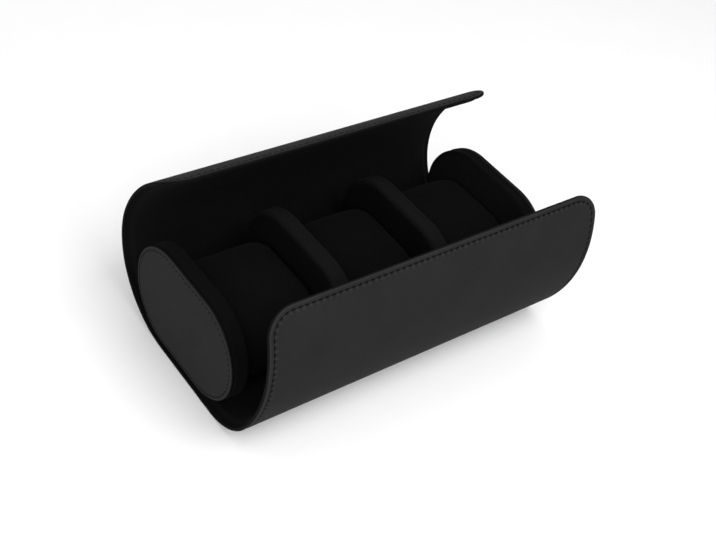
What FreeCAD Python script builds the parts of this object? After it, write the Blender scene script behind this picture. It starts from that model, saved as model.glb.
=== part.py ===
import FreeCAD, Part
import math
import os
from FreeCAD import Rotation, Vector

os.makedirs("parts", exist_ok=True)

# A wrap-round travel case with three lift-out cushions, open. X runs along the case, the front flap is
# at -Y, the tall rear flap at +Y, and Z is up from the underside of the base. Sizes are in millimetres.

# Clearances between pieces
glue_line = 0.1
seat_gap = 0.3
overrun = 5.0

# Insert: two end plates, dividers between bays, all in one row along X
bay_count = 3
bay_width = 54.6
plate_width = 92.0
plate_height = 59.2
plate_thickness = 10.7
divider_thickness = 11.4

# Padding: suede over a stiff board on the end plates, with a leather panel on each outer end
cover_thickness = 1.6
plate_rim_radius = 2.6
divider_rim_radius = 4.8
end_panel_thickness = 1.6
end_panel_inset = 0.6
end_panel_rim_radius = 0.9
end_panel_rim_steps = 1
plate_rim_steps = 2
divider_rim_steps = 4

# Lift-out cushions, crowned and drawn in at both ends
cushion_depth = 73.0
cushion_height = 45.6
cushion_side_gap = 0.5
cushion_draw_in = 2.4

# Where from a cushion's middle it draws in, and by which share of the whole draw-in
cushion_draw_shares = ((0.92, 0.0), (0.965, 0.4), (1.0, 1.0))

# Wrap: leather outside, lining inside, and boards between them that stop short of the stitched border
leather_thickness = 1.1
panel_thickness = 1.7
lining_thickness = 0.8
turned_edge = 1.2
board_inset = 6.0
base_board_inset = 2.6
end_inset = 0.4
fold_gap = 0.3
panel_setback = 1.2
groove_spare_deg = 1.5

# Section of the wrap's outer face: a flat run, then two bends on each side
front_flat = 32.4
front_lower_radius = 32.8
front_lower_turn_deg = 58.8
front_upper_radius = 81.3
front_upper_turn_deg = 60.0
rear_lower_radius = 46.9
rear_lower_turn_deg = 110.0
rear_upper_radius = 74.5
rear_upper_turn_deg = 43.8
front_corner_radius = 14.0
rear_corner_radius = 15.3

# Panels of the wrap, measured round its outer face, and how far each fold turns to close the case
base_front_reach = 24.9
base_rear_reach = 34.4
front_lower_panel = 54.0
front_middle_panel = 24.8
rear_lower_panel = 27.2
rear_middle_panel = 29.4
front_closing_deg = (24.4, 23.0, 23.8)
rear_closing_deg = (10.8, 12.2, 15.0)

# Closing magnets: thin bars let into the boards near each flap's free edge
magnet_length = 20.0
magnet_width = 8.0
magnet_thickness = 1.0
magnet_setback = 16.0
magnet_clearance = 0.2
magnet_place_shares = (-0.25, 0.25)

# Sizes that follow from those above
wrap_thickness = leather_thickness + panel_thickness + lining_thickness + 2 * glue_line
insert_length = 2 * plate_thickness + bay_count * bay_width + (bay_count - 1) * divider_thickness
wrap_length = insert_length + 2 * end_inset
rear_flat = (plate_width - plate_height) / 2
cushion_width = bay_width - 2 * cushion_side_gap
front_lower_run = front_lower_radius * math.radians(front_lower_turn_deg)
front_upper_run = front_upper_radius * math.radians(front_upper_turn_deg)
rear_lower_run = rear_lower_radius * math.radians(rear_lower_turn_deg)
rear_upper_run = rear_upper_radius * math.radians(rear_upper_turn_deg)
front_tip = front_flat + front_lower_run + front_upper_run
rear_tip = rear_flat + rear_lower_run + rear_upper_run
panel_depth = leather_thickness + glue_line
panel_back = panel_depth + panel_thickness
border_thickness = panel_depth + lining_thickness

written = []


def write(name, shape):
    """One piece, one file."""
    shape.exportStep("parts/" + name + ".step")
    written.append((name, len(shape.Solids), shape.Volume, shape.isValid()))


# The wrap's section. A place on it is its distance round the outer face from the middle of the
# case, negative towards the front, and its depth below that face.

def section_at(place):
    """Side, distance out, height and slope of the outer face."""
    if place < 0:
        side = -1
        flat = front_flat
        lower_radius = front_lower_radius
        lower_run = front_lower_run
        upper_radius = front_upper_radius
    else:
        side = 1
        flat = rear_flat
        lower_radius = rear_lower_radius
        lower_run = rear_lower_run
        upper_radius = rear_upper_radius
    along = abs(place)
    if along <= flat:
        return side, along, 0.0, 0.0
    slope = min(along - flat, lower_run) / lower_radius
    out = flat + lower_radius * math.sin(slope)
    up = lower_radius * (1 - math.cos(slope))
    beyond = along - flat - lower_run
    if beyond > 0:
        steeper = slope + beyond / upper_radius
        out += upper_radius * (math.sin(steeper) - math.sin(slope))
        up += upper_radius * (math.cos(slope) - math.cos(steeper))
        slope = steeper
    return side, out, up, slope


def wrap_point(place, depth):
    side, out, up, slope = section_at(place)
    return Vector(0, side * (out - depth * math.sin(slope)), up + depth * math.cos(slope))


def bend_edges(place_from, place_to, depth):
    """Lines and arcs that follow the wrap at one depth."""
    changes = (-front_flat - front_lower_run, -front_flat, rear_flat, rear_flat + rear_lower_run)
    inner = [place for place in changes if place_from < place < place_to]
    stops = [place_from] + inner + [place_to]
    edges = []
    for start, end in zip(stops, stops[1:]):
        middle = (start + end) / 2
        ends = wrap_point(start, depth), wrap_point(end, depth)
        if -front_flat < middle < rear_flat:
            edges.append(Part.LineSegment(*ends).toShape())
        else:
            edges.append(Part.Arc(ends[0], wrap_point(middle, depth), ends[1]).toShape())
    return edges


def layer(place_from, place_to, depth_from, depth_to, lean_from, lean_to, half_length):
    """A stretch of one layer. Its ends lean back with depth, so that a fold has room to close."""
    far_from = place_from + depth_to * math.tan(lean_from)
    far_to = place_to - depth_to * math.tan(lean_to)
    near_from = place_from + depth_from * math.tan(lean_from)
    near_to = place_to - depth_from * math.tan(lean_to)
    outer = bend_edges(near_from, near_to, depth_from)
    inner = bend_edges(far_from, far_to, depth_to)
    first = Part.LineSegment(wrap_point(near_from, depth_from), wrap_point(far_from, depth_to)).toShape()
    last = Part.LineSegment(wrap_point(near_to, depth_from), wrap_point(far_to, depth_to)).toShape()
    wire = Part.Wire(Part.__sortEdges__(outer + [last] + inner + [first]))
    face = Part.Face(wire)
    face.translate(Vector(-half_length, 0, 0))
    return face.extrude(Vector(2 * half_length, 0, 0))


def corner_cutter(tip, inset, radius, end):
    """What a rounded corner of a flap takes away, square to the flap there."""
    side = -1 if tip < 0 else 1
    middle = tip - side * (inset + radius / 2)
    slope = math.degrees(section_at(middle)[3])
    turn = slope if side > 0 else 180 - slope
    reach = radius + overrun
    block = Part.makeBox(reach, reach, 2 * overrun + 2 * wrap_thickness)
    block.translate(Vector(0 if end > 0 else -reach, 0, -overrun - wrap_thickness))
    post_height = 2 * overrun + 2 * wrap_thickness
    post = Part.makeCylinder(radius, post_height, Vector(0, 0, -overrun - wrap_thickness))
    cutter = block.cut(post)
    cutter.translate(Vector(0, -radius / 2, 0))
    cutter.Placement = FreeCAD.Placement(Vector(), Rotation(Vector(1, 0, 0), turn)).multiply(cutter.Placement)
    cutter.translate(wrap_point(middle, 0) + Vector(end * (wrap_length / 2 - inset - radius), 0, 0))
    return cutter


def flap_layer(panel, depth_from, depth_to, inset, setback, grow):
    """One layer of one panel: inset from the case's ends and from a free edge, set back from folds."""
    start, end, lean_start, lean_end, corner = panel
    half_length = wrap_length / 2 - inset
    gap = fold_gap / 2 + setback - grow
    place_from = start + (inset if start == -front_tip else gap)
    place_to = end - (inset if end == rear_tip else gap)
    solid = layer(place_from, place_to, depth_from, depth_to, lean_start, lean_end, half_length)
    for tip in (-front_tip, rear_tip):
        if tip in (start, end):
            for x_end in (-1, 1):
                solid = solid.cut(corner_cutter(tip, inset, corner - inset, x_end))
    return solid


def magnet_bars(tip, depth_from, depth_to, spare):
    """Bars in the board layer, one for each place along the free edge, with some to spare all round."""
    side = -1 if tip < 0 else 1
    middle = tip - side * magnet_setback
    reach = magnet_width / 2 + spare
    places = middle - reach, middle + reach
    corners = [wrap_point(place, depth_from) for place in places]
    corners += [wrap_point(place, depth_to) for place in reversed(places)]
    face = Part.Face(Part.makePolygon(corners + corners[:1]))
    bars = []
    for share in magnet_place_shares:
        bar = face.extrude(Vector(magnet_length + 2 * spare, 0, 0))
        bar.translate(Vector(share * wrap_length - magnet_length / 2 - spare, 0, 0))
        bars.append(bar)
    return Part.Compound(bars)


# Each fold's groove leans by half of what the fold turns, with a little to spare
front_leans = [math.radians(turn / 2 + groove_spare_deg) for turn in front_closing_deg]
rear_leans = [math.radians(turn / 2 + groove_spare_deg) for turn in rear_closing_deg]
front_folds = [-base_front_reach]
for length in (front_lower_panel, front_middle_panel):
    front_folds.append(front_folds[-1] - length)
rear_folds = [base_rear_reach]
for length in (rear_lower_panel, rear_middle_panel):
    rear_folds.append(rear_folds[-1] + length)

# Every panel: where it starts and ends, how its two ends lean, and the radius of its free corners
panels = {
    "front_upper": (-front_tip, front_folds[2], 0.0, front_leans[2], front_corner_radius),
    "front_middle": (front_folds[2], front_folds[1], front_leans[2], front_leans[1], 0.0),
    "front_lower": (front_folds[1], front_folds[0], front_leans[1], front_leans[0], 0.0),
    "base": (front_folds[0], rear_folds[0], front_leans[0], rear_leans[0], 0.0),
    "rear_lower": (rear_folds[0], rear_folds[1], rear_leans[0], rear_leans[1], 0.0),
    "rear_middle": (rear_folds[1], rear_folds[2], rear_leans[1], rear_leans[2], 0.0),
    "rear_upper": (rear_folds[2], rear_tip, rear_leans[2], 0.0, rear_corner_radius),
}

for name, panel in panels.items():
    # The base's board runs on under the end plates, and the others stop short of the stitched border
    inset = base_board_inset if name == "base" else board_inset
    # Leather: its edges are turned up round the lining, so it is a shallow tray
    slab = flap_layer(panel, 0.0, border_thickness, 0.0, 0.0, 0.0)
    tray = flap_layer(panel, leather_thickness, border_thickness + overrun, turned_edge, 0.0, overrun)
    write(name + "_leather", slab.cut(tray))
    # Board: stops short of each fold too, so that only leather and lining bend there
    board = flap_layer(panel, panel_depth, panel_back, inset, panel_setback, 0.0)
    for tip in (-front_tip, rear_tip):
        if tip in panel[:2]:
            pockets = magnet_bars(tip, panel_depth - overrun, panel_back + overrun, magnet_clearance)
            board = board.cut(pockets)
    write(name + "_board", board)
    # Lining: lies on the leather in the border, where the two are sewn together, and steps up over the board
    border = flap_layer(panel, panel_depth, border_thickness, turned_edge + glue_line, 0.0, 0.0)
    raised = flap_layer(panel, panel_depth, wrap_thickness, inset - glue_line - lining_thickness, 0.0, 0.0)
    pocket = flap_layer(panel, 0.0, panel_back + glue_line, inset - glue_line, 0.0, overrun)
    write(name + "_lining", border.fuse(raised).cut(pocket))

magnet_depth = panel_depth + (panel_thickness - magnet_thickness) / 2
for name, tip in (("front", -front_tip), ("rear", rear_tip)):
    write(name + "_magnets", magnet_bars(tip, magnet_depth, magnet_depth + magnet_thickness, 0.0))


# The insert's pieces are ovals square to X that stand on the lining

def oval_wire(x, depth, height, middle):
    """Rounded ends and flat top and bottom, as lines and quarter circles."""
    radius = height / 2
    flat = depth / 2 - radius
    diagonal = radius * math.sqrt(0.5)
    edges = []
    for side in (1, -1):
        centre = Vector(x, side * flat, middle)
        low = centre + Vector(0, 0, -side * radius)
        out = centre + Vector(0, side * radius, 0)
        high = centre + Vector(0, 0, side * radius)
        low_bend = centre + Vector(0, side * diagonal, -side * diagonal)
        high_bend = centre + Vector(0, side * diagonal, side * diagonal)
        edges.append(Part.Arc(low, low_bend, out).toShape())
        edges.append(Part.Arc(out, high_bend, high).toShape())
        edges.append(Part.LineSegment(high, Vector(x, -side * flat, high.z)).toShape())
    return Part.Wire(edges)


def oval_plate(x_from, x_to, depth, height, middle):
    face = Part.Face(oval_wire(x_from, depth, height, middle))
    return face.extrude(Vector(x_to - x_from, 0, 0))


def padded_plate(x_from, x_to, depth, height, middle, radius, steps, both):
    """An oval plate whose outline is rounded at x_from, or at both faces, in small flat steps."""
    towards = 1 if x_to > x_from else -1
    bends = [math.radians(90 * step / steps) for step in range(steps + 1)]
    stations = [(radius * (1 - math.cos(bend)), radius * (1 - math.sin(bend))) for bend in bends]
    thickness = abs(x_to - x_from)
    if both:
        stations += [(thickness - along, inset) for along, inset in reversed(stations)]
    else:
        stations.append((thickness, 0.0))
    wires = []
    for along, inset in stations:
        wires.append(oval_wire(x_from + towards * along, depth - 2 * inset, height - 2 * inset, middle))
    return Part.makeLoft(wires, True, True)


plate_middle = wrap_thickness + plate_height / 2
plate_size = plate_width, plate_height, plate_middle

for name, end in (("left", -1), ("right", 1)):
    outer_face = end * insert_length / 2
    panel_face = outer_face - end * end_panel_thickness
    bay_face = outer_face - end * plate_thickness
    # Leather panel on the outer face
    shrink = 2 * end_panel_inset
    size = plate_width - shrink, plate_height - shrink, plate_middle
    panel = padded_plate(outer_face, panel_face, *size, end_panel_rim_radius, end_panel_rim_steps, False)
    write(name + "_end_panel", panel)
    # Suede cover over the inner face and the rim, open towards the leather panel
    back_face = panel_face - end * glue_line
    cover = padded_plate(bay_face, back_face, *plate_size, plate_rim_radius, plate_rim_steps, False)
    pocket_floor = bay_face + end * cover_thickness
    shrink = 2 * cover_thickness
    past_back = back_face + end * overrun
    pocket = oval_plate(past_back, pocket_floor, plate_width - shrink, plate_height - shrink, plate_middle)
    write(name + "_end_cover", cover.cut(pocket))
    # Board inside the cover
    shrink = 2 * (cover_thickness + glue_line)
    board_floor = pocket_floor + end * glue_line
    board = oval_plate(back_face, board_floor, plate_width - shrink, plate_height - shrink, plate_middle)
    write(name + "_end_board", board)

# Dividers: ovals of the same size as the end plates, padded right through, with a soft round rim
pitch = bay_width + divider_thickness
for number in range(1, bay_count):
    x_from = -insert_length / 2 + plate_thickness + number * pitch - divider_thickness
    x_to = x_from + divider_thickness
    pad = padded_plate(x_from, x_to, *plate_size, divider_rim_radius, divider_rim_steps, True)
    write("divider_%d" % number, pad)

# Cushions: a loft through ovals that narrow towards both ends
cushion_middle = wrap_thickness + seat_gap + cushion_height / 2
stations = [(-place, draw) for place, draw in reversed(cushion_draw_shares)] + list(cushion_draw_shares)
for number in range(1, bay_count + 1):
    x_middle = -insert_length / 2 + plate_thickness + bay_width / 2 + (number - 1) * pitch
    wires = []
    for place, draw in stations:
        narrower = 2 * draw * cushion_draw_in
        size = cushion_depth - narrower, cushion_height - narrower
        wires.append(oval_wire(x_middle + place * cushion_width / 2, *size, cushion_middle))
    write("cushion_%d_pad" % number, Part.makeLoft(wires, True, True))

for name, solids, volume, valid in written:
    print("%-22s %d solid(s) %10.1f mm3 %s" % (name, solids, volume, "valid" if valid else "NOT VALID"))
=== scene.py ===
import math
from collections import namedtuple
import bmesh
import bpy
from mathutils import Matrix, Vector, noise


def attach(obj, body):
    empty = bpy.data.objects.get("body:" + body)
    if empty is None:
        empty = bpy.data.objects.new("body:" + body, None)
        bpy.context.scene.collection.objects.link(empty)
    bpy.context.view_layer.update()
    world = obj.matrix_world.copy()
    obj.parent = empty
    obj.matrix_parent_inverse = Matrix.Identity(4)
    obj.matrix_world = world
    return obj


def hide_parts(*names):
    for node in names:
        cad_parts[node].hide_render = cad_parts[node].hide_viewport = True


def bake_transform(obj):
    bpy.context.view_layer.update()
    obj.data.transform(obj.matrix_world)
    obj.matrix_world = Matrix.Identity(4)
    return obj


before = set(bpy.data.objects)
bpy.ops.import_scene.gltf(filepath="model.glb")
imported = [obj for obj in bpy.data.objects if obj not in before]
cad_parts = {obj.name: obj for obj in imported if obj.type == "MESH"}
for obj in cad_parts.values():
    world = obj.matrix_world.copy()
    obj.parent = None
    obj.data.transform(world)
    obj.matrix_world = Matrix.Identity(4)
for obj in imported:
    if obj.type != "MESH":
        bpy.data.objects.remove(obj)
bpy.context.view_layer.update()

# Leather wrap: one sheet of smooth dark leather with four rounded corners. Its edges are turned in round
# the lining and sewn 3 mm in, and no board stiffens the flaps' borders. It bends at six folds, and it is
# made in six stretches that meet in mid-panel, each holding one fold. Sizes are in millimetres.
mm = 0.001
half_length = 104.4
front_tip = 151.2
rear_tip = 163.39
front_corner = 14.0
rear_corner = 15.3
wrap_thickness = 3.8
border_thickness = 2.0
lip_width = 1.1
stitch_inset = 3.0
# Each flap's flat run, its lower bend's radius and run, and its upper bend's radius.
front_bends = (32.4, 32.8, 33.66, 81.3)
rear_bends = (16.4, 46.9, 90.04, 74.5)


def section_at(place):
    """Side, distance out, height and slope of the wrap's outer face at a place round it."""
    flat, lower_radius, lower_run, upper_radius = front_bends if place < 0 else rear_bends
    side = -1 if place < 0 else 1
    along = abs(place)
    if along <= flat:
        return side, along, 0.0, 0.0
    slope = min(along - flat, lower_run) / lower_radius
    out = flat + lower_radius * math.sin(slope)
    up = lower_radius * (1 - math.cos(slope))
    beyond = along - flat - lower_run
    if beyond > 0:
        steeper = slope + beyond / upper_radius
        out += upper_radius * (math.sin(steeper) - math.sin(slope))
        up += upper_radius * (math.cos(slope) - math.cos(steeper))
        slope = steeper
    return side, out, up, slope


def on_wrap(x, place, depth):
    """A point of the wrap, that deep below its outer face."""
    side, out, up, slope = section_at(place)
    return Vector((x, side * (out - depth * math.sin(slope)), up + depth * math.cos(slope))) * mm


def free_end(place):
    return (front_tip, front_corner) if place < 0 else (rear_tip, rear_corner)


def from_edge(x, place, inset):
    """How far in from the sheet's edge, or from a line inset from it, a point of the flat sheet lies."""
    tip, corner = free_end(place)
    radius = corner - inset
    across = half_length - inset - abs(x)
    along = tip - inset - abs(place)
    if across < radius and along < radius:
        return max(radius - math.hypot(radius - across, radius - along), 0.0)
    return max(min(across, along), 0.0)


def reach_at(place, inset):
    """Half the sheet's length along X at a place, narrower in its rounded corners."""
    tip, corner = free_end(place)
    radius = corner - inset
    along = max(tip - inset - abs(place), 0.0)
    reach = half_length - inset
    if along < radius:
        reach += math.sqrt(radius ** 2 - (radius - along) ** 2) - radius
    return reach


def seam_length(place):
    """The stitch line's length on one flap, from mid-base at one end round to mid-base at the other."""
    tip, corner = free_end(place)
    radius = corner - stitch_inset
    straight = tip - stitch_inset - radius
    return 2 * (straight + radius * math.pi / 2 + half_length - stitch_inset - radius)


wanted_pitch = 3.7
whole_seam = seam_length(-1) + seam_length(1)
stitch_count = round(whole_seam / wanted_pitch)
stitch_pitch = whole_seam / stitch_count


def seam_run(x, place):
    """How far round the stitch line a point of the sheet lies."""
    tip, corner = free_end(place)
    radius = corner - stitch_inset
    half = half_length - stitch_inset
    straight = tip - stitch_inset - radius
    across = half - abs(x)
    along = tip - stitch_inset - abs(place)
    run = min(abs(place), straight)
    if across < radius and along < radius:
        run = straight + radius * math.atan2(radius - along, radius - across)
    elif along < across:
        run = straight + radius * math.pi / 2 + half - radius - abs(x)
    if x < 0:
        run = seam_length(place) - run
    return run if place >= 0 else -run


# Steps in from an edge, close together where the leather rolls and where the stitches pull it in.
edge_steps = (0, 0.1, 0.25, 0.45, 0.7, 0.9, 1.1, 1.2, 1.45, 1.7, 1.95, 2.25, 2.55, 2.8, 3.0, 3.2, 3.45)
edge_steps += (3.9, 4.5, 5.2, 6.0, 6.9, 8.0, 9.6, 12.0)
meeting_step = 0.25
row_step = 1.7
inner_columns = 30
mid_front_middle = -91.3
mid_front_lower = -51.9
mid_base = 0.0
mid_rear_lower = 48.0
mid_rear_middle = 76.3
Stretch = namedtuple("Stretch", "start end fold inner_panel outer_panel")
stretches = {
    "front_upper_fold": Stretch(
        start=-front_tip, end=mid_front_middle, fold=-103.7,
        inner_panel="front_middle_panel", outer_panel="front_upper_panel",
    ),
    "front_middle_fold": Stretch(
        start=mid_front_middle, end=mid_front_lower, fold=-78.9,
        inner_panel="front_lower_panel", outer_panel="front_middle_panel",
    ),
    "front_flap": Stretch(
        start=mid_front_lower, end=mid_base, fold=-24.9,
        inner_panel="case_base", outer_panel="front_lower_panel",
    ),
    "rear_flap": Stretch(
        start=mid_base, end=mid_rear_lower, fold=34.4,
        inner_panel="case_base", outer_panel="rear_lower_panel",
    ),
    "rear_middle_fold": Stretch(
        start=mid_rear_lower, end=mid_rear_middle, fold=61.6,
        inner_panel="rear_lower_panel", outer_panel="rear_middle_panel",
    ),
    "rear_upper_fold": Stretch(
        start=mid_rear_middle, end=rear_tip, fold=91.0,
        inner_panel="rear_middle_panel", outer_panel="rear_upper_panel",
    ),
}


def sheet_rows(start, end, inset):
    """Places across a stretch, close together at a free edge and where two stretches meet."""
    low, high = start, end
    first = [0.0, meeting_step]
    last = [meeting_step, 0.0]
    if start == -front_tip:
        low = start + inset
        first = list(edge_steps)
    if end == rear_tip:
        high = end - inset
        last = list(reversed(edge_steps))
    near = low + first[-1]
    far = high - last[0]
    count = max(math.ceil((far - near) / row_step), 1)
    between = [near + (far - near) * step / count for step in range(1, count)]
    return [low + step for step in first] + between + [high - step for step in last]


sharp_angle = math.radians(52)
seam_jump = 20


def shape_piece(name, points, faces, finish, sheet, edge_gap, seam):
    """A smooth mesh that keeps each point's place on its flat cut, for its grain and its stitched edge.

    Seam is a point's run round the stitch line, in stitches. A face that spans the place where the count
    starts again gets the next round's values, so that the puckers stay even there.
    """
    mesh = bpy.data.meshes.new(name)
    mesh.from_pydata(points, [], faces)
    mesh.update()
    mesh.attributes.new("sheet", "FLOAT_VECTOR", "POINT")
    mesh.attributes.new("edge_gap", "FLOAT", "POINT")
    mesh.attributes.new("seam", "FLOAT", "CORNER")
    for spot, value in zip(mesh.attributes["sheet"].data, sheet):
        spot.vector = value
    for spot, value in zip(mesh.attributes["edge_gap"].data, edge_gap):
        spot.value = value
    seam_runs = mesh.attributes["seam"]
    for face in mesh.polygons:
        first = seam[face.vertices[0]]
        for corner in face.loop_indices:
            run = seam[mesh.loops[corner].vertex_index]
            if abs(run - first) > seam_jump:
                run += math.copysign(math.ceil(abs(first - run)), first - run)
            seam_runs.data[corner].value = run
    piece = bpy.data.objects.new(name, mesh)
    bpy.context.scene.collection.objects.link(piece)
    shell = bmesh.new()
    shell.from_mesh(mesh)
    bmesh.ops.recalc_face_normals(shell, faces=shell.faces)
    shell.to_mesh(mesh)
    shell.free()
    mesh.polygons.foreach_set("use_smooth", [True] * len(mesh.polygons))
    mesh.set_sharp_from_angle(angle=sharp_angle)
    mesh.materials.append(finish)
    return piece


def sheet_piece(name, stretch, inset, face_depth, back_depth, finish):
    """One stretch of a sheet: its outer face, its back, and the walls that join them."""
    rows = sheet_rows(stretch.start, stretch.end, inset)
    points, sheet, edge_gap, seam = [], [], [], []
    for side, depth_at in ((1, face_depth), (-1, back_depth)):
        for place in rows:
            reach = reach_at(place, inset)
            inner = reach - edge_steps[-1]
            columns = [-reach + step for step in edge_steps]
            columns += [inner * (2 * step / inner_columns - 1) for step in range(1, inner_columns)]
            columns += [reach - step for step in reversed(edge_steps)]
            for x in columns:
                gap = from_edge(x, place, inset)
                points.append(on_wrap(x, place, depth_at(gap + inset, place)))
                sheet.append((x * mm, place * mm, 0.0))
                edge_gap.append(side * (gap + inset))
                seam.append(seam_run(x, place) / stitch_pitch)
    wide = len(columns)
    tall = len(rows)
    back = wide * tall
    faces = []
    for row in range(tall - 1):
        for column in range(wide - 1):
            corner = row * wide + column
            faces.append((corner, corner + 1, corner + wide + 1, corner + wide))
            under = back + corner
            faces.append((under, under + wide, under + wide + 1, under + 1))
        for column in (0, wide - 1):
            corner = row * wide + column
            faces.append((corner, corner + wide, back + corner + wide, back + corner))
    for row in (0, tall - 1):
        for column in range(wide - 1):
            corner = row * wide + column
            faces.append((corner, corner + 1, back + corner + 1, back + corner))
    return shape_piece(name, points, faces, finish, sheet, edge_gap, seam)


bend_reach = 9.0


def bend_across(piece, stretch):
    """Bakes the piece's place into its mesh; the points 9 mm to each side of its fold are worked out but
    not used.
    """
    side = -1 if stretch.fold < 0 else 1
    before = on_wrap(0, stretch.fold - side * bend_reach, 0)
    after = on_wrap(0, stretch.fold + side * bend_reach, 0)
    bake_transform(piece)


def rolled(gap, width, drop):
    """How far a rounded edge falls away, gap millimetres in from it."""
    if gap >= width:
        return 0.0
    return drop * (1 - math.sqrt(1 - (1 - gap / width) ** 2))


channel_width = 0.55


def pulled_in(gap, depth):
    """The shallow channel that the stitches pull along their line."""
    return depth * math.exp(-((gap - stitch_inset) / channel_width) ** 2)


def eased(share):
    """A share from 0 to 1 that starts and ends gently."""
    share = min(max(share, 0.0), 1.0)
    return share * share * (3 - 2 * share)


base_start = -31.0
base_end = 40.5
base_ease = 6.0
border_width = 3.0
border_rise = 2.8
base_border_less = 1.6
base_rise_less = 1.9


def thickness_at(gap, place):
    """The whole wrap: thin in its border and full over the boards, which reach further out in the base."""
    on_base = eased((place - base_start) / base_ease) * eased((base_end - place) / base_ease)
    past_border = gap - border_width + base_border_less * on_base
    risen = eased(past_border / (border_rise - base_rise_less * on_base))
    return border_thickness + (wrap_thickness - border_thickness) * risen


leather_roll_width = 0.8
leather_roll_drop = 0.65
leather_channel = 0.26
leather_depth = 1.05
lip_sunk = 0.05
lip_roll = 0.75


def leather_face(gap, place):
    """Depth of the leather's outer face, rounded at the turned edge and pulled in along the stitches."""
    return rolled(gap, leather_roll_width, leather_roll_drop) + pulled_in(gap, leather_channel)


def leather_back(gap, place):
    """Depth of the leather's inner face, which comes up round the lining's edge as a turned lip."""
    if gap <= lip_width:
        return border_thickness - lip_sunk - rolled(gap, lip_roll, lip_roll)
    return leather_depth


def link(nodes, links):
    """Joins sockets of a material, each as (from node, its output, to node, its input)."""
    for from_node, output, to_node, entry in links:
        nodes.id_data.links.new(from_node.outputs[output], to_node.inputs[entry])


def new_material(name):
    material = bpy.data.materials.new(name)
    material.use_nodes = True
    return material, material.node_tree.nodes, material.node_tree.nodes["Principled BSDF"]


def tone_ramp(nodes, stops):
    """Grey levels along a scale from 0 to 1, as (place, level)."""
    ramp = nodes.new("ShaderNodeValToRGB")
    while len(ramp.color_ramp.elements) < len(stops):
        ramp.color_ramp.elements.new(0.5)
    for element, (place, level) in zip(ramp.color_ramp.elements, stops):
        element.position = place
        element.color = (level, level, level, 1)
    return ramp


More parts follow.
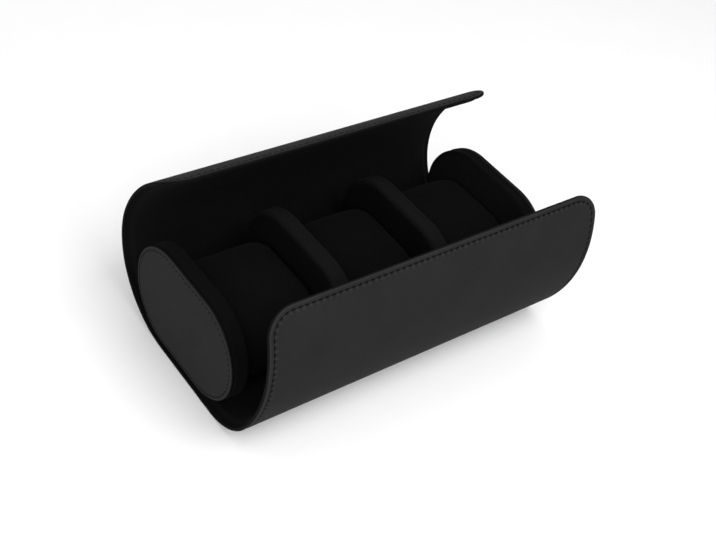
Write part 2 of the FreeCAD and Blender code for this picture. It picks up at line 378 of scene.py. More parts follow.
def leather_finish(name, dark, light, seam_inset):
    """Smooth leather: fine grain, cloudy colour and puckers at the stitches, with painted light along the
    edge.

    The edge's tone is darkest at the very edge and over the turned lip, partly a dark edge finish and
    partly painted shade on the lip. The roll beside it carries a painted highlight, the stitch groove
    carries painted shade, and the puckers are painted lighter and darker in turn. The edge's tones are
    shares of twice the leather's colour, so that the painted highlight on the roll can be paler than the
    rest.
    """
    material, nodes, skin = new_material(name)
    sheet = nodes.new("ShaderNodeAttribute")
    sheet.attribute_name = "sheet"
    edge = nodes.new("ShaderNodeAttribute")
    edge.attribute_name = "edge_gap"
    seam = nodes.new("ShaderNodeAttribute")
    seam.attribute_name = "seam"
    pebbles = nodes.new("ShaderNodeTexVoronoi")
    pebbles.feature = "DISTANCE_TO_EDGE"
    pebbles.inputs["Scale"].default_value = 1150
    wander = nodes.new("ShaderNodeTexNoise")
    wander.inputs["Scale"].default_value = 420
    wander.inputs["Detail"].default_value = 3
    nudge = nodes.new("ShaderNodeVectorMath")
    nudge.operation = "MULTIPLY_ADD"
    nudge.inputs[1].default_value = (0.0006, 0.0006, 0.0006)
    creases = nodes.new("ShaderNodeMapRange")
    creases.inputs["From Max"].default_value = 0.22
    cloud = nodes.new("ShaderNodeTexNoise")
    cloud.inputs["Scale"].default_value = 38
    cloud.inputs["Detail"].default_value = 4
    cloud.inputs["Roughness"].default_value = 0.6
    colour = nodes.new("ShaderNodeMix")
    colour.data_type = "RGBA"
    colour.inputs["A"].default_value = (*(2 * part for part in dark), 1)
    colour.inputs["B"].default_value = (*(2 * part for part in light), 1)
    rim = nodes.new("ShaderNodeMath")
    rim.operation = "DIVIDE"
    rim.inputs[1].default_value = 2 * seam_inset
    # Painted light along the edge: darkest at the very edge and over the turned lip (partly a dark edge
    # finish, partly painted shade on the lip), a painted highlight on the roll, and painted shade in the
    # stitch groove.
    rim_painted_light_tone = tone_ramp(nodes, (
        (0, 0.13), (0.05, 0.32), (0.11, 0.7), (0.18, 0.6), (0.27, 0.51), (0.39, 0.5),
        (0.46, 0.39), (0.5, 0.3), (0.54, 0.41), (0.62, 0.56), (0.85, 0.5),
    ))
    rim_painted_light_colour = nodes.new("ShaderNodeMix")
    rim_painted_light_colour.data_type = "RGBA"
    rim_painted_light_colour.blend_type = "MULTIPLY"
    rim_painted_light_colour.inputs["Factor"].default_value = 1
    # Painted light and shade on the puckers: beside the stitch line the colour is painted lighter and
    # darker in turn, stitch by stitch.
    pucker_painted_light_band = tone_ramp(nodes, ((0.51, 0.0), (0.57, 1.0), (0.7, 0.6), (0.84, 0.0)))
    pucker_painted_light = nodes.new("ShaderNodeMath")
    pucker_painted_light.operation = "MULTIPLY"
    pucker_painted_light_tone = nodes.new("ShaderNodeMath")
    pucker_painted_light_tone.operation = "MULTIPLY_ADD"
    pucker_painted_light_tone.inputs[1].default_value = 0.38
    pucker_painted_light_tone.inputs[2].default_value = 1.0
    pucker_painted_light_colour = nodes.new("ShaderNodeMix")
    pucker_painted_light_colour.data_type = "RGBA"
    pucker_painted_light_colour.blend_type = "MULTIPLY"
    pucker_painted_light_colour.inputs["Factor"].default_value = 1
    gloss = nodes.new("ShaderNodeMapRange")
    gloss.inputs["To Min"].default_value = 0.55
    gloss.inputs["To Max"].default_value = 0.7
    grain = nodes.new("ShaderNodeBump")
    grain.inputs["Strength"].default_value = 0.35
    grain.inputs["Distance"].default_value = 0.00012
    cosine = nodes.new("ShaderNodeMath")
    cosine.operation = "COSINE"
    turns = nodes.new("ShaderNodeMath")
    turns.operation = "MULTIPLY"
    turns.inputs[1].default_value = 2 * math.pi
    off_line = nodes.new("ShaderNodeMath")
    off_line.operation = "SUBTRACT"
    off_line.inputs[1].default_value = seam_inset
    spread = nodes.new("ShaderNodeMath")
    spread.operation = "ABSOLUTE"
    band = nodes.new("ShaderNodeMapRange")
    band.interpolation_type = "SMOOTHSTEP"
    band.inputs["From Min"].default_value = 1.5
    band.inputs["From Max"].default_value = 0.2
    pucker = nodes.new("ShaderNodeMath")
    pucker.operation = "MULTIPLY"
    puckers = nodes.new("ShaderNodeBump")
    puckers.inputs["Strength"].default_value = 0.9
    puckers.inputs["Distance"].default_value = 0.0003
    skin.inputs["Specular IOR Level"].default_value = 0.015
    link(nodes, (
        (sheet, "Vector", wander, "Vector"),
        (wander, "Color", nudge, 0),
        (sheet, "Vector", nudge, 2),
        (nudge, "Vector", pebbles, "Vector"),
        (pebbles, "Distance", creases, "Value"),
        (sheet, "Vector", cloud, "Vector"),
        (cloud, "Fac", colour, "Factor"),
        (edge, "Fac", rim, 0),
        (rim, "Value", rim_painted_light_tone, "Fac"),
        (colour, "Result", rim_painted_light_colour, "A"),
        (rim_painted_light_tone, "Color", rim_painted_light_colour, "B"),
        (rim, "Value", pucker_painted_light_band, "Fac"),
        (pucker_painted_light_band, "Color", pucker_painted_light, 0),
        (cosine, "Value", pucker_painted_light, 1),
        (pucker_painted_light, "Value", pucker_painted_light_tone, 0),
        (rim_painted_light_colour, "Result", pucker_painted_light_colour, "A"),
        (pucker_painted_light_tone, "Value", pucker_painted_light_colour, "B"),
        (pucker_painted_light_colour, "Result", skin, "Base Color"),
        (cloud, "Fac", gloss, "Value"),
        (gloss, "Result", skin, "Roughness"),
        (creases, "Result", grain, "Height"),
        (seam, "Fac", turns, 0),
        (turns, "Value", cosine, 0),
        (edge, "Fac", off_line, 0),
        (off_line, "Value", spread, 0),
        (spread, "Value", band, "Value"),
        (cosine, "Value", pucker, 0),
        (band, "Result", pucker, 1),
        (pucker, "Value", puckers, "Height"),
        (grain, "Normal", puckers, "Normal"),
        (puckers, "Normal", skin, "Normal"),
    ))
    return material


wrap_dark = (0.0136, 0.0136, 0.0139)
wrap_light = (0.0217, 0.0217, 0.0221)
wrap_leather = leather_finish("wrap_leather", wrap_dark, wrap_light, stitch_inset)
leather_nodes = {
    "front_upper_fold": ("front_upper_leather", "front_middle_leather"),
    "front_middle_fold": ("front_lower_leather",),
    "front_flap": ("base_leather",),
    "rear_flap": ("rear_lower_leather",),
    "rear_middle_fold": ("rear_middle_leather",),
    "rear_upper_fold": ("rear_upper_leather",),
}
for fold, stretch in stretches.items():
    leather = sheet_piece("leather_at_" + fold, stretch, 0.0, leather_face, leather_back, wrap_leather)
    bend_across(leather, stretch)
    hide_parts(*leather_nodes[fold])

# Lining: black microsuede inside the turned edge, caught by the same stitches, and drawn up over the edges
# of the boards. It bends with the leather, and it is made in the same six stretches.
lining_inset = 1.25
lining_thickness = 0.85
lining_roll_width = 0.6
lining_roll_drop = 0.4
lining_channel = 0.3


def lining_face(gap, place):
    """Depth of the lining's face, which rounds down beside the leather's lip."""
    round_off = rolled(gap - lining_inset, lining_roll_width, lining_roll_drop)
    return thickness_at(gap, place) - round_off - pulled_in(gap, lining_channel)


def lining_back(gap, place):
    return thickness_at(gap, place) - lining_thickness


painted_edge_fade = 2.9


def suede_finish(name, dark, light, painted_edge_tone, edge_reach=3.6):
    """Microsuede: a short nap, brushed lighter and darker in patches, with a painted tone along its edges.
    """
    material, nodes, nap = new_material(name)
    sheet = nodes.new("ShaderNodeAttribute")
    sheet.attribute_name = "sheet"
    edge = nodes.new("ShaderNodeAttribute")
    edge.attribute_name = "edge_gap"
    brushed = nodes.new("ShaderNodeTexNoise")
    brushed.inputs["Scale"].default_value = 55
    brushed.inputs["Detail"].default_value = 5
    brushed.inputs["Roughness"].default_value = 0.65
    fibres = nodes.new("ShaderNodeTexNoise")
    fibres.inputs["Scale"].default_value = 1900
    fibres.inputs["Detail"].default_value = 2
    colour = nodes.new("ShaderNodeMix")
    colour.data_type = "RGBA"
    colour.inputs["A"].default_value = (*dark, 1)
    colour.inputs["B"].default_value = (*light, 1)
    # Painted light and shade: near an edge the colour turns to the caller's edge tone, a painted highlight
    # on the dividers and painted shade on the end covers.
    painted_edge_mask = nodes.new("ShaderNodeMapRange")
    painted_edge_mask.interpolation_type = "SMOOTHSTEP"
    painted_edge_mask.inputs["From Min"].default_value = edge_reach + painted_edge_fade
    painted_edge_mask.inputs["From Max"].default_value = edge_reach
    painted_edge_colour = nodes.new("ShaderNodeMix")
    painted_edge_colour.data_type = "RGBA"
    painted_edge_colour.inputs["B"].default_value = (*painted_edge_tone, 1)
    speckle = nodes.new("ShaderNodeMix")
    speckle.data_type = "RGBA"
    speckle.blend_type = "MULTIPLY"
    speckle.inputs["Factor"].default_value = 0.45
    both = nodes.new("ShaderNodeMath")
    both.operation = "MULTIPLY_ADD"
    both.inputs[1].default_value = 3.0
    fuzz = nodes.new("ShaderNodeBump")
    fuzz.inputs["Strength"].default_value = 0.5
    fuzz.inputs["Distance"].default_value = 0.00012
    nap.inputs["Roughness"].default_value = 0.95
    nap.inputs["Specular IOR Level"].default_value = 0.01
    nap.inputs["Sheen Weight"].default_value = 0.008
    nap.inputs["Sheen Roughness"].default_value = 0.6
    link(nodes, (
        (sheet, "Vector", brushed, "Vector"),
        (sheet, "Vector", fibres, "Vector"),
        (brushed, "Fac", colour, "Factor"),
        (edge, "Fac", painted_edge_mask, "Value"),
        (painted_edge_mask, "Result", painted_edge_colour, "Factor"),
        (colour, "Result", painted_edge_colour, "A"),
        (painted_edge_colour, "Result", speckle, "A"),
        (fibres, "Color", speckle, "B"),
        (speckle, "Result", nap, "Base Color"),
        (brushed, "Fac", both, 0),
        (fibres, "Fac", both, 2),
        (both, "Value", fuzz, "Height"),
        (fuzz, "Normal", nap, "Normal"),
    ))
    return material


lining_dark = (0.005, 0.005, 0.0051)
lining_light = (0.0084, 0.0084, 0.0086)
lining_edge = (0.0062, 0.0062, 0.0064)
lining_suede = suede_finish("lining_suede", lining_dark, lining_light, lining_edge)
lining_nodes = {
    "front_upper_fold": ("front_upper_lining", "front_middle_lining"),
    "front_middle_fold": ("front_lower_lining",),
    "front_flap": ("base_lining",),
    "rear_flap": ("rear_lower_lining",),
    "rear_middle_fold": ("rear_middle_lining",),
    "rear_upper_fold": ("rear_upper_lining",),
}
for fold, stretch in stretches.items():
    lining = sheet_piece("lining_at_" + fold, stretch, lining_inset, lining_face, lining_back, lining_suede)
    bend_across(lining, stretch)
    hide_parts(*lining_nodes[fold])

# Wrap stitching: black thread, one lockstitch row right round the wrap. Each stitch lies in the pulled-in
# channel and dives into a needle hole at both ends, on the leather side and on the lining side.
thread_radius = 0.38
thread_sides = 6
thread_end_share = 0.72
thread_sunk = 0.34
stitch_reach = 1.35
stitch_dive = 0.5
stitch_steps = 3


def seam_point(run):
    """X and place of a point of the stitch line."""
    side = -1 if run < 0 else 1
    tip, corner = free_end(side)
    radius = corner - stitch_inset
    half = half_length - stitch_inset
    straight = tip - stitch_inset - radius
    whole = seam_length(side)
    run = abs(run)
    x_side = 1
    if run > whole / 2:
        run = whole - run
        x_side = -1
    turn = (run - straight) / radius
    if run <= straight:
        return x_side * half, side * run
    if turn <= math.pi / 2:
        x = half - radius + radius * math.cos(turn)
        return x_side * x, side * (straight + radius * math.sin(turn))
    x = half - radius - (run - straight - radius * math.pi / 2)
    return x_side * x, side * (tip - stitch_inset)


def thread_finish():
    """Twisted thread with a low gloss: black on the wrap, greyer on the end panels and the lining."""
    material, nodes, yarn = new_material("black_thread")
    sheet = nodes.new("ShaderNodeAttribute")
    sheet.attribute_name = "sheet"
    kind = nodes.new("ShaderNodeAttribute")
    kind.attribute_name = "seam"
    shade = tone_ramp(nodes, ((0.0, 0.0045), (0.5, 0.013), (1.0, 0.0075)))
    ply = nodes.new("ShaderNodeTexWave")
    ply.bands_direction = "DIAGONAL"
    ply.inputs["Scale"].default_value = 900
    tone = nodes.new("ShaderNodeMix")
    tone.data_type = "RGBA"
    tone.blend_type = "MULTIPLY"
    tone.inputs["Factor"].default_value = 0.5
    twist = nodes.new("ShaderNodeBump")
    twist.inputs["Distance"].default_value = 0.00005
    yarn.inputs["Roughness"].default_value = 0.7
    yarn.inputs["Specular IOR Level"].default_value = 0.02
    link(nodes, (
        (sheet, "Vector", ply, "Vector"),
        (kind, "Fac", shade, "Fac"),
        (shade, "Color", tone, "A"),
        (ply, "Color", tone, "B"),
        (tone, "Result", yarn, "Base Color"),
        (ply, "Fac", twist, "Height"),
        (twist, "Normal", yarn, "Normal"),
    ))
    return material


def sew(points, faces, path, outward):
    """Adds one stitch: a thin rod along the path, closed at both ends."""
    sides = thread_sides
    start = len(points)
    for index, spot in enumerate(path):
        ahead = path[min(index + 1, len(path) - 1)] - path[max(index - 1, 0)]
        across = ahead.normalized().cross(outward).normalized()
        up = across.cross(ahead.normalized())
        radius = thread_radius * mm * (thread_end_share if index in (0, len(path) - 1) else 1)
        for side in range(sides):
            turn = 2 * math.pi * side / sides
            points.append(spot + radius * (math.cos(turn) * across + math.sin(turn) * up))
    for ring in range(len(path) - 1):
        for side in range(sides):
            one = start + ring * sides + side
            two = start + ring * sides + (side + 1) % sides
            faces.append((one, two, two + sides, one + sides))
    faces.append(tuple(start + side for side in reversed(range(sides))))
    faces.append(tuple(start + (len(path) - 1) * sides + side for side in range(sides)))


black_thread = thread_finish()
first_stitch = -round(seam_length(-1) / stitch_pitch)
for fold, stretch in stretches.items():
    points, faces, kind = [], [], []
    for number in range(first_stitch, first_stitch + stitch_count + 1):
        run = (number + 0.5) * stitch_pitch
        if not -seam_length(-1) < run < seam_length(1):
            continue
        middle = seam_point(run)
        if not stretch.start <= middle[1] < stretch.end:
            continue
        outward = on_wrap(*middle, -1) - on_wrap(*middle, 0)
        for level, way in ((thread_sunk, 1), (thickness_at(stitch_inset, middle[1]) - thread_sunk, -1)):
            path = []
            for step in range(-stitch_steps, stitch_steps + 1):
                x, place = seam_point(run + step / stitch_steps * stitch_reach)
                dive = stitch_dive * (abs(step) / stitch_steps) ** 4
                path.append(on_wrap(x, place, level + way * dive))
            sew(points, faces, path, outward * way)
            kind += [0.0 if way > 0 else 1.0] * (len(points) - len(kind))
    sheet = [(spot[0], spot[2], spot[1]) for spot in points]
    stitching = shape_piece("stitching_at_" + fold, points, faces, black_thread, sheet, kind, kind)
    bend_across(stitching, stretch)

# Boards and magnets: grey fibre boards between leather and lining, one in each panel, and nickel-plated
# bars let into the two outermost boards. They are shut in and keep their own solids.
board, board_parts, board_skin = new_material("fibre_board")
board_spot = board_parts.new("ShaderNodeTexCoord")
board_fibres = board_parts.new("ShaderNodeTexNoise")
board_fibres.inputs["Scale"].default_value = 600
board_fibres.inputs["Detail"].default_value = 6
board_tone = board_parts.new("ShaderNodeMix")
board_tone.data_type = "RGBA"
board_tone.inputs["A"].default_value = (0.13, 0.12, 0.105, 1)
board_tone.inputs["B"].default_value = (0.22, 0.2, 0.175, 1)
board_bump = board_parts.new("ShaderNodeBump")
board_bump.inputs["Distance"].default_value = 0.0001
board_skin.inputs["Roughness"].default_value = 0.9
link(board_parts, (
    (board_spot, "Object", board_fibres, "Vector"),
    (board_fibres, "Fac", board_tone, "Factor"),
    (board_tone, "Result", board_skin, "Base Color"),
    (board_fibres, "Fac", board_bump, "Height"),
    (board_bump, "Normal", board_skin, "Normal"),
))
nickel, nickel_parts, nickel_skin = new_material("nickel_plate")
nickel_spot = nickel_parts.new("ShaderNodeTexCoord")
nickel_marks = nickel_parts.new("ShaderNodeTexNoise")
nickel_marks.inputs["Scale"].default_value = 900
nickel_gloss = nickel_parts.new("ShaderNodeMapRange")
nickel_gloss.inputs["To Min"].default_value = 0.22
nickel_gloss.inputs["To Max"].default_value = 0.4
nickel_skin.inputs["Base Color"].default_value = (0.6, 0.59, 0.56, 1)
nickel_skin.inputs["Metallic"].default_value = 1
link(nickel_parts, (
    (nickel_spot, "Object", nickel_marks, "Vector"),
    (nickel_marks, "Fac", nickel_gloss, "Value"),
    (nickel_gloss, "Result", nickel_skin, "Roughness"),
))
for name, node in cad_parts.items():
    if name.endswith("_board") or name.endswith("_magnets"):
        node.data.materials.clear()
        node.data.materials.append(board if name.endswith("_board") else nickel)

# End panels: an oval of the same leather on the outside of each end plate, turned in over a thin padded
# board and sewn 2.1 mm in with grey thread, so that its rim stands up as a narrow rolled welt.
plate_width = 92.0
plate_height = 59.2
plate_middle = 33.4
insert_half = 104.0
panel_set_back = 0.3
panel_width = plate_width - 2 * panel_set_back
panel_height = plate_height - 2 * panel_set_back
panel_stitch_inset = 2.1
panel_pitch = 3.1
panel_stitch_reach = 1.15
panel_thread_sunk = 0.42
panel_stitch_dive = 0.42
# The same leather as the wrap's, painted lighter here: painted light on the end panels.
panel_brightened_dark = (0.016, 0.016, 0.0163)
panel_brightened_light = (0.0244, 0.0244, 0.0248)
panel_brightened_leather = leather_finish("panel_brightened_leather", panel_brightened_dark, panel_brightened_light, panel_stitch_inset)
arc_steps = 44
flat_steps = 12


def oval_ring(x, inset, width, height, middle):
    """Points round an oval, square to X, from the bottom up the +Y side."""
    radius = height / 2 - inset
    flat = (width - height) / 2
    points = []
    for side in (1, -1):
        for step in range(arc_steps):
            turn = math.pi * step / arc_steps
            y = side * (flat + radius * math.sin(turn))
            points.append(Vector((x, y, middle - side * radius * math.cos(turn))))
        for step in range(flat_steps):
            points.append(Vector((x, side * flat * (1 - 2 * step / flat_steps), middle + side * radius)))
    return points


unevenness_scale = 0.11


def padded_oval(name, profile, width, height, middle, finish, soften=0.0):
    """A closed piece through an oval for each x and inset of its profile, made a little uneven."""
    points, faces, sheet, edge_gap, seam = [], [], [], [], []
    size = 2 * (arc_steps + flat_steps)
    radius = height / 2 - panel_stitch_inset
    length = 2 * math.pi * radius + 2 * (width - height)
    pitches = round(length / panel_pitch)
    for x, inset in profile:
        for index, spot in enumerate(oval_ring(x, inset, width, height, middle)):
            outward = Vector((0, spot.y, spot.z - middle)).normalized()
            if soften:
                spot = spot + outward * soften * noise.noise(spot * unevenness_scale)
            points.append(spot * mm)
            sheet.append((spot.y * mm + x * mm, spot.z * mm, x * mm))
            edge_gap.append(inset)
            half, turn = divmod(index, arc_steps + flat_steps)
            run = math.pi * radius * min(turn, arc_steps) / arc_steps
            run += (width - height) * max(turn - arc_steps, 0) / flat_steps
            seam.append((half * length / 2 + run) / length * pitches)
    for ring in range(len(profile) - 1):
        for index in range(size):
            one = ring * size + index
            two = ring * size + (index + 1) % size
            faces.append((one, two, two + size, one + size))
    faces.append(tuple(range(size)))
    faces.append(tuple((len(profile) - 1) * size + index for index in range(size)))
    return shape_piece(name, points, faces, finish, sheet, edge_gap, seam)


# The panel's outline, as (depth from the case's end, distance in from the oval): the rolled edge, the welt,
# the groove that the stitches lie in, and the flat middle.
panel_profile = (
    (1.6, 6.0), (1.6, 0.9), (1.5, 0.45), (1.25, 0.15), (0.95, 0.02), (0.7, 0.05), (0.45, 0.2), (0.25, 0.42),
    (0.1, 0.7), (0.04, 1.0), (0.05, 1.3), (0.12, 1.6), (0.28, 1.9), (0.36, 2.1), (0.28, 2.35), (0.14, 2.7),
    (0.1, 3.4), (0.09, 6.0), (0.07, 9.0), (0.04, 13.0), (0.01, 18.0), (0.0, 23.0), (0.0, 27.6),
)
for name, end in (("left", -1), ("right", 1)):
    profile = [(end * (insert_half - sunk), inset) for sunk, inset in panel_profile]
    panel = padded_oval(
        name + "_end_leather", profile, panel_width, panel_height, plate_middle, panel_brightened_leather,
    )
    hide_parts(name + "_end_panel")
    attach(panel, "case_base")
    points, faces = [], []
    radius = panel_height / 2 - panel_stitch_inset
    flat = (plate_width - plate_height) / 2
    length = 2 * math.pi * radius + 4 * flat
    count = round(length / panel_pitch)
    for number in range(count):
        path = []
        for step in range(-stitch_steps, stitch_steps + 1):
            run = ((number + 0.5) * length / count + step / stitch_steps * panel_stitch_reach) % length
            half, run = divmod(run, length / 2)
            side = 1 if half == 0 else -1
            turn = min(run / radius, math.pi)
            past = max(run - math.pi * radius, 0)
            y = side * (flat - past + radius * math.sin(turn))
            z = plate_middle - side * radius * math.cos(turn)
            sunk = panel_thread_sunk + panel_stitch_dive * (abs(step) / stitch_steps) ** 4
            path.append(Vector((end * (insert_half - sunk), y, z)) * mm)
        sew(points, faces, path, Vector((end, 0, 0)))
    sheet = [(spot[1], spot[2], spot[0]) for spot in points]
    kind = [0.5] * len(points)
    seam_row = shape_piece(name + "_end_stitching", points, faces, black_thread, sheet, kind, kind)
    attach(seam_row, "case_base")

# End covers: microsuede pulled over each end plate's board with thin wadding, round its rim and across its
# inner face, and glued behind the leather panel.
cover_dark = (0.008, 0.008, 0.0082)
cover_light = (0.0128, 0.0128, 0.013)
# Painted shade on the covers' rim band, darker than their faces.
cover_rim_painted_shade = (0.0042, 0.0042, 0.0044)
cover_suede = suede_finish("cover_suede", cover_dark, cover_light, cover_rim_painted_shade, edge_reach=0.5)
bay_face = 93.3
rim_round = 2.4
rim_steps = 8
cover_unevenness = 0.12
cover_profile = [(0.0, 25.0), (0.0, 18.0), (0.0, 11.0), (0.0, 6.5), (0.02, 4.2)]
for step in range(rim_steps + 1):
    turn = math.pi / 2 * step / rim_steps
    cover_profile.append((rim_round * (1 - math.cos(turn)), rim_round * (1 - math.sin(turn))))
cover_profile += [(3.1, 0.08), (3.9, 0.28), (4.8, 0.4), (5.7, 0.36), (6.5, 0.16), (7.2, 0.03), (7.8, 0.12)]
cover_profile += [(8.3, 0.45), (8.7, 1.0), (9.0, 1.8), (9.05, 4.0)]
for name, end in (("left", -1), ("right", 1)):
    profile = [(end * (bay_face + out), inset) for out, inset in cover_profile]
    cover = padded_oval(
        name + "_end_suede", profile, plate_width, plate_height, plate_middle, cover_suede,
        cover_unevenness,
    )
    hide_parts(name + "_end_cover")
    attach(cover, "case_base")

# Dividers: oval pads between the bays, as wide and tall as the end plates. A strip of microsuede over
# wadding runs round the rim, sewn to an oval on each side, and its seams stand up as two soft ridges.
divider_dark = (0.0034, 0.0034, 0.0035)
divider_light = (0.0058, 0.0058, 0.006)
# Painted highlight on the dividers' rims and seam ridges, lighter than their faces.
divider_rim_painted_highlight = (0.009, 0.009, 0.0092)
divider_suede = suede_finish("divider_suede", divider_dark, divider_light, divider_rim_painted_highlight, edge_reach=0.8)
divider_thickness = 11.4
divider_places = (-33.0, 33.0)
divider_unevenness = 0.25
divider_bulge = 0.42
divider_rim_width = 2.3
divider_rim_depth = 3.2
divider_profile = [(0.0, 22.0), (0.0, 16.0), (0.02, 11.0), (0.08, 7.5), (0.2, 5.2), (0.36, 4.0)]
for step in range(1, rim_steps + 1):
    turn = math.pi / 2 * step / rim_steps
    out = divider_bulge + divider_rim_width * (1 - math.cos(turn))
    divider_profile.append((out, divider_rim_depth * (1 - math.sin(turn))))
divider_profile += [(3.2, 0.1), (3.8, 0.3), (4.5, 0.48), (5.3, 0.55)]
divider_profile += [(divider_thickness - out, inset) for out, inset in reversed(divider_profile)]
for number, middle in enumerate(divider_places, start=1):
    profile = [(middle - divider_thickness / 2 + out, inset) for out, inset in divider_profile]
    pad = padded_oval(
        "divider_%d_suede" % number, profile, plate_width, plate_height, plate_middle, divider_suede,
        divider_unevenness,
    )
    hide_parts("divider_%d" % number)
    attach(pad, "case_base")

# Cushions: three foam blocks in microsuede, each a wrapped tube with an oval panel sewn into both ends.
# The cloth swells between its seams, the seams draw it in, and the wrap creases a little where it meets
# them. They stand loose in their bays.
cushion_dark = (0.0034, 0.0034, 0.0035)
cushion_light = (0.0061, 0.0061, 0.0063)
cushion_edge = (0.005, 0.005, 0.0052)
cushion_suede = suede_finish("cushion_suede", cushion_dark, cushion_light, cushion_edge)
cushion_places = (-66.0, 0.0, 66.0)
cushion_half = 26.8
cushion_depth = 73.0
cushion_height = 45.6
cushion_middle = 26.9
cushion_unevenness = 0.35
cushion_profile = [(0.5, 19.0), (0.5, 14.0), (0.6, 10.0), (0.8, 7.0), (1.2, 5.0), (1.5, 3.8), (2.0, 2.9)]
cushion_profile += [(2.8, 2.3), (4.2, 1.8), (6.5, 1.4), (9.5, 1.1), (13.0, 1.0), (17.0, 1.0), (22.0, 1.0)]
cushion_profile += [(2 * cushion_half - out, inset) for out, inset in reversed(cushion_profile)]


def inset_in_cushion(spot):
    """How far in from the cushion's full oval a point lies, in millimetres."""
    across = max(abs(spot.y) - (cushion_depth - cushion_height) / 2, 0.0)
    return cushion_height / 2 - math.hypot(across, spot.z - cushion_middle)


seam_from_end = 1.7
seam_from_rim = 3.2


def seam_gap(spot, middle):
    """How far a point lies from the nearer of the cushion's two seams."""
    from_end = cushion_half - abs(spot.x - middle)
    return math.hypot(from_end - seam_from_end, inset_in_cushion(spot) - seam_from_rim)


def taken(piece):
    """The piece's mesh with its modifiers worked in."""
    return bpy.data.meshes.new_from_object(piece.evaluated_get(bpy.context.evaluated_depsgraph_get()))


cloth_cell = 3.6
held_reach = 2.4
foam_pressure = 4
swell_time = 20
most_swell = 3.5


def swollen(start, middle):
    """The start shape remeshed, blown up as cloth that is held at its seams, and smoothed once."""
    even = start.modifiers.new("even", "REMESH")
    even.mode = "VOXEL"
    even.voxel_size = cloth_cell * mm
    pad = bpy.data.objects.new(start.name + "_cloth", taken(start))
    bpy.context.scene.collection.objects.link(pad)
    before = [spot.co.copy() for spot in pad.data.vertices]
    held = pad.vertex_groups.new(name="seams")
    by_seam = [index for index, spot in enumerate(before) if seam_gap(spot / mm, middle) < held_reach]
    held.add(by_seam, 1.0, "REPLACE")
    cloth = pad.modifiers.new("cloth", "CLOTH")
    cloth.settings.use_pressure = True
    cloth.settings.uniform_pressure_force = foam_pressure
    cloth.settings.vertex_group_mass = "seams"
    cloth.settings.effector_weights.gravity = 0
    cloth.point_cache.frame_end = swell_time
    for moment in range(1, swell_time + 1):
        bpy.context.scene.frame_set(moment)
    grown = taken(pad)
    for spot, place in zip(grown.vertices, before):
        move = spot.co - place
        if move.length > most_swell * mm:
            spot.co = place + move * (most_swell * mm / move.length)
    bpy.context.scene.frame_set(1)
    pad.modifiers.clear()
    pad.data = grown
    pad.modifiers.new("smooth", "SUBSURF").levels = 1
    return pad, taken(pad)


crease_scale = 9
crease_shift = 5.0
crease_height = 0.7
crease_fade = 5
seam_depth = 0.9
seam_width = 1.5
rim_margin = 0.5
end_margin = 0.6
for number, middle in enumerate(cushion_places, start=1):
    name = "cushion_%d_suede" % number
    profile = [(middle - cushion_half + out, inset) for out, inset in cushion_profile]
    cushion = padded_oval(
        name, profile, cushion_depth, cushion_height, cushion_middle, cushion_suede, cushion_unevenness,
    )
    pad, grown = swollen(cushion, middle)
    points, sheet, edge_gap = [], [], []
    for vertex in grown.vertices:
        spot = vertex.co / mm
        near = seam_gap(spot, middle)
        outward = Vector((0, spot.y, spot.z - cushion_middle)).normalized()
        along_rim = outward * crease_scale
        ripple = noise.noise(Vector((along_rim.y, along_rim.z, number * crease_shift)))
        crease = ripple * math.exp(-near / crease_fade)
        spot += outward * (crease_height * crease - seam_depth * math.exp(-(near / seam_width) ** 2))
        inset = inset_in_cushion(spot)
        if inset < rim_margin:
            spot -= outward * (rim_margin * math.exp(inset / rim_margin - 1) - inset)
        out = spot.x - middle
        if abs(out) > cushion_half - end_margin:
            over = abs(out) - cushion_half + end_margin
            reach = cushion_half - end_margin * math.exp(-over / end_margin)
            spot.x = middle + math.copysign(reach, out)
        points.append(spot * mm)
        sheet.append((spot.y * mm + spot.x * mm, spot.z * mm, spot.x * mm))
        edge_gap.append(seam_from_rim + near)
    faces = [tuple(face.vertices) for face in grown.polygons]
    for old in (cushion, pad):
        bpy.data.objects.remove(old)
    cushion = shape_piece(name, points, faces, cushion_suede, sheet, edge_gap, [0.0] * len(points))
    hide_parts("cushion_%d_pad" % number)
    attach(cushion, "cushion_%d" % number)

# Studio: a white sweep under soft light, sized in metres. The camera stands off the case's front left
# corner and looks down on it, and its frame is turned so that the case runs up to the right.
floor_half = 4
floor_drop = 0.0002
floor_corners = [(-floor_half, -floor_half, 0), (floor_half, -floor_half, 0)]
floor_corners += [(floor_half, floor_half, 0), (-floor_half, floor_half, 0)]
sweep_mesh = bpy.data.meshes.new("floor")
sweep_mesh.from_pydata(floor_corners, [], [(0, 1, 2, 3)])
sweep = bpy.data.objects.new("floor", sweep_mesh)
sweep.location.z = -floor_drop
bpy.context.scene.collection.objects.link(sweep)
paper, paper_parts, paper_skin = new_material("white_paper")
paper_spot = paper_parts.new("ShaderNodeTexCoord")
paper_tooth = paper_parts.new("ShaderNodeTexNoise")
paper_tooth.inputs["Scale"].default_value = 40
paper_tone = paper_parts.new("ShaderNodeMix")
paper_tone.data_type = "RGBA"
paper_tone.inputs["A"].default_value = (0.93, 0.93, 0.93, 1)
paper_tone.inputs["B"].default_value = (0.95, 0.95, 0.95, 1)
paper_skin.inputs["Roughness"].default_value = 0.95
paper_skin.inputs["Specular IOR Level"].default_value = 0.0
link(paper_parts, (
    (paper_spot, "Object", paper_tooth, "Vector"),
    (paper_tooth, "Fac", paper_tone, "Factor"),
    (paper_tone, "Result", paper_skin, "Base Color"),
))
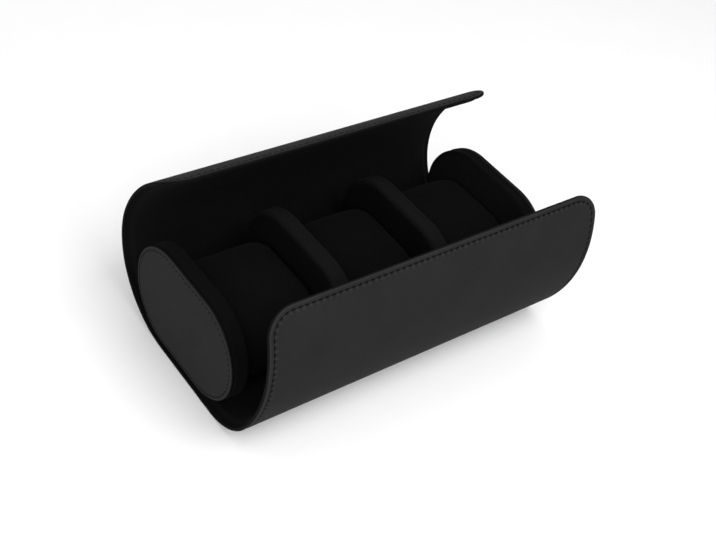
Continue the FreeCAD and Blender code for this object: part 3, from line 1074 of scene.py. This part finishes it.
sweep_mesh.materials.append(paper)

sky = bpy.data.worlds.new("studio")
bpy.context.scene.world = sky
sky.use_nodes = True
sky_parts = sky.node_tree.nodes
sky_light = sky_parts["Background"]
sky_light.inputs["Color"].default_value = (1, 1, 1, 1)
sky_light.inputs["Strength"].default_value = 0.64
sky_white = sky_parts.new("ShaderNodeBackground")
sky_white.inputs["Color"].default_value = (1, 1, 1, 1)
sky_seen = sky_parts.new("ShaderNodeLightPath")
sky_both = sky_parts.new("ShaderNodeMixShader")
link(sky_parts, (
    (sky_seen, "Is Camera Ray", sky_both, 0),
    (sky_light, "Background", sky_both, 1),
    (sky_white, "Background", sky_both, 2),
    (sky_both, "Shader", sky_parts["World Output"], "Surface"),
))
lamp_aim = Vector((0, 0, 0.04))
for name, spot, size, power in (
    ("key_light", (0.12, -0.5, 0.86), 0.7, 5.5),
    ("fill_light", (-0.65, -0.5, 0.6), 0.6, 3.5),
    ("rim_light", (0.1, 0.8, 0.5), 0.7, 0.5),
):
    lamp_data = bpy.data.lights.new(name, "AREA")
    lamp_data.size = size
    lamp_data.energy = power
    lamp = bpy.data.objects.new(name, lamp_data)
    lamp.location = spot
    lamp.rotation_euler = (lamp_aim - Vector(spot)).to_track_quat("-Z", "Y").to_euler()
    bpy.context.scene.collection.objects.link(lamp)

camera_place = (-0.3374, -0.3372, 0.4523)
camera_turn = math.radians(-45.71)
camera_tilt = math.radians(41.54)
camera_roll = math.radians(13.93)
camera_data = bpy.data.cameras.new("camera")
camera_data.lens = 58.75
camera_data.sensor_width = 36
camera = bpy.data.objects.new("camera", camera_data)
level = math.cos(camera_tilt)
back = Vector((math.sin(camera_turn) * level, -math.cos(camera_turn) * level, math.sin(camera_tilt)))
facing = back.to_track_quat("Z", "Y").to_matrix().to_4x4()
camera.matrix_world = Matrix.Translation(camera_place) @ facing @ Matrix.Rotation(camera_roll, 4, "Z")
bpy.context.scene.collection.objects.link(camera)
bpy.context.scene.camera = camera
bpy.context.scene.view_settings.view_transform = "Standard"
